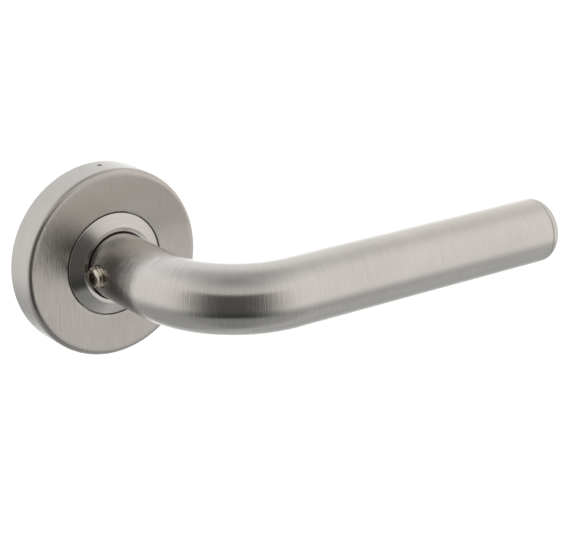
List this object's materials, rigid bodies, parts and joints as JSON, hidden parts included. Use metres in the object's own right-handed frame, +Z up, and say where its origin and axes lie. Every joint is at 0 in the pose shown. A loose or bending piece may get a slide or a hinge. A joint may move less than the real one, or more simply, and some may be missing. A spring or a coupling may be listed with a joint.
{
  "type": "door lever handle",
  "caption": "Round-rose door lever handle: a bent brushed-steel tube that turns and springs back on a round rose, with a square spindle, fixing screws and a clip-on cover.",
  "frame": {"origin": "on the lever's turning axis, at the back face of the rose, which is the face of the door; also the middle of the two support sleeves", "axes": "+X along the lever arm at rest, from the rose to the tip; +Z up; -Y out of the door towards the hand, so +Y goes into the door along the spindle"},
  "size_m": [0.1445, 0.0975, 0.054],
  "materials": {
    "stainless": "stainless steel, finely brushed",
    "zinc": "zinc die-casting, as cast, dull grey",
    "nylon_black": "black nylon, moulded",
    "nylon_white": "natural nylon, moulded",
    "spring_steel": "spring steel, dark and lightly oiled",
    "plated_steel": "zinc-plated steel, pale and slightly blue",
    "black_steel": "blackened steel",
    "bright_steel": "bright steel, turned and threaded"
  },
  "bodies": {
    "rose": {"base_plate": "zinc", "collar": "stainless", "neck_bush": "nylon_black", "rear_bush": "nylon_white", "thrust_washer": "spring_steel", "stop_pins": "plated_steel", "snap_ring": "spring_steel", "return_spring": "spring_steel", "support_sleeves": "plated_steel", "wood_screws": "plated_steel", "lock_screw": "black_steel"},
    "cover": {"rose_cover": "stainless"},
    "lever": {"lever_tube": "stainless", "tip_cap": "stainless", "neck_insert": "plated_steel", "driver_plate": "plated_steel", "disc_spring": "spring_steel", "circlip": "black_steel", "spindle": "plated_steel"},
    "grub": {"grub_screw": "bright_steel"}
  },
  "joints": [
    {"name": "lever_turn", "type": "hinge", "parent": "rose", "child": "lever", "pos_m": [0, 0, 0], "axis": [0, 1, 0], "range_deg": [0, 45], "stiffness_Nm_per_rad": 1.2, "springref_deg": -20.05, "deforming": ["return_spring"]},
    {"name": "cover_slide", "type": "slide", "parent": "rose", "child": "cover", "axis": [0, -1, 0], "range_m": [0, 0.02]},
    {"name": "grub_feed", "type": "slide", "parent": "lever", "child": "grub", "axis": [-1, 0, 0], "range_m": [0, 0.003]}
  ]
}
